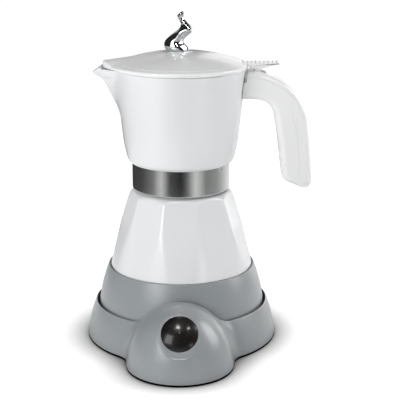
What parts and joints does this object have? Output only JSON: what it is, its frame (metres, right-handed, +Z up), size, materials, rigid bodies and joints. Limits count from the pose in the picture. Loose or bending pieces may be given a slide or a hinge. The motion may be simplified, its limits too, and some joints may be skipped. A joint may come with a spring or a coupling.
{
  "type": "electric moka pot",
  "caption": "Electric stovetop-style moka coffee maker: a detachable faceted white pot with a hinged lid, flame-shaped knob and curved handle on a grey power base with a domed push button.",
  "frame": {"origin": "where the pot's vertical axis meets the table, at the centre of the rubber ring that the power base rests on", "axes": "+Z up along the pot's axis, +X towards the handle, -X towards the pouring beak, -Y towards the front lobe with the push button, +Y towards the cord inlet"},
  "size_m": [0.1767, 0.1897, 0.257],
  "materials": {
    "grey_abs": "fine satin",
    "dark_abs": "matte",
    "natural_nylon": "matte",
    "soft_rubber": "matte",
    "white_silicone": "matte",
    "zinc_screw": "zinc plated",
    "contact_brass": "bright",
    "smoked_lens": "polished",
    "circuit_board": "solder mask",
    "lamp_lens": "clear",
    "spring_steel": "drawn wire",
    "white_enamel": "gloss enamel on cast aluminium",
    "white_plastic": "gloss",
    "cast_aluminium": "satin",
    "brushed_band": "brushed",
    "element_steel": "heat stained",
    "ceramic_body": "glazed",
    "chrome_knob": "polished"
  },
  "bodies": {
    "power_base": {"base_shell": "grey_abs", "base_cover": "grey_abs", "foot_ring": "soft_rubber", "front_foot": "soft_rubber", "base_screws": "zinc_screw", "base_connector": "dark_abs", "connector_screws": "zinc_screw", "base_contacts": "contact_brass", "cord_inlet": "soft_rubber", "cord_clamp": "natural_nylon", "clamp_screws": "zinc_screw", "button_plate": "natural_nylon", "switch_board": "circuit_board", "push_switch": "dark_abs", "indicator_lamp": "lamp_lens", "button_screws": "zinc_screw", "button_spring": "spring_steel"},
    "button": {"button_lens": "smoked_lens", "button_carrier": "dark_abs"},
    "swivel_bush": {"swivel_bush": "natural_nylon"},
    "pot": {"lower_housing": "grey_abs", "housing_bottom": "grey_abs", "housing_screws": "zinc_screw", "pot_socket": "dark_abs", "socket_screws": "zinc_screw", "pot_contacts": "contact_brass", "heating_element": "element_steel", "heater_plate": "cast_aluminium", "thermostat": "ceramic_body", "thermal_fuse": "ceramic_body", "housing_seal": "white_silicone", "boiler_screws": "zinc_screw", "boiler": "white_enamel", "valve_body": "contact_brass", "valve_spring": "spring_steel"},
    "valve_pin": {"valve_pin": "contact_brass"},
    "funnel": {"funnel": "cast_aluminium", "funnel_plate": "cast_aluminium"},
    "seals": {"gasket": "white_silicone", "upper_filter": "cast_aluminium"},
    "jug": {"jug": "white_enamel", "threaded_collar": "cast_aluminium", "steel_band": "brushed_band", "coffee_column": "cast_aluminium", "column_cap": "cast_aluminium", "handle_body": "white_plastic", "handle_cover": "white_plastic", "handle_screws": "zinc_screw", "hinge_pin": "zinc_screw"},
    "lid": {"lid": "white_enamel", "lid_knob": "chrome_knob", "knob_screw": "zinc_screw", "thumb_lever": "white_plastic"}
  },
  "joints": [
    {"name": "button_press", "type": "slide", "parent": "power_base", "child": "button", "axis": [0, 0.7986, -0.6018], "range_m": [0, 0.002], "stiffness_N_per_m": 1000, "springref_m": -0.002, "deforming": ["button_spring"]},
    {"name": "pot_swivel", "type": "hinge", "parent": "power_base", "child": "swivel_bush", "pos_m": [0, 0, 0.018], "axis": [0, 0, 1], "continuous": true},
    {"name": "pot_lift", "type": "slide", "parent": "swivel_bush", "child": "pot", "axis": [0, 0, 1], "range_m": [0, 0.06]},
    {"name": "valve_lift", "type": "slide", "parent": "pot", "child": "valve_pin", "axis": [0, 0.9573, 0.2891], "range_m": [0, 0.0015], "stiffness_N_per_m": 2000, "springref_m": -0.003, "deforming": ["valve_spring"]},
    {"name": "funnel_lift", "type": "slide", "parent": "pot", "child": "funnel", "axis": [0, 0, 1], "range_m": [0, 0.085]},
    {"name": "jug_rise", "type": "slide", "parent": "funnel", "child": "seals", "axis": [0, 0, 1], "range_m": [0, 0.0068]},
    {"name": "jug_unscrew", "type": "hinge", "parent": "seals", "child": "jug", "pos_m": [0, 0, 0.13], "axis": [0, 0, 1], "range_deg": [0, 810]},
    {"name": "lid_hinge", "type": "hinge", "parent": "jug", "child": "lid", "pos_m": [0.059, 0, 0.2096], "axis": [0, 1, 0], "range_deg": [0, 38]}
  ],
  "couplings": [
    {"joint": "jug_rise", "follows": "jug_unscrew", "m_per_rad": 0.00047746}
  ]
}
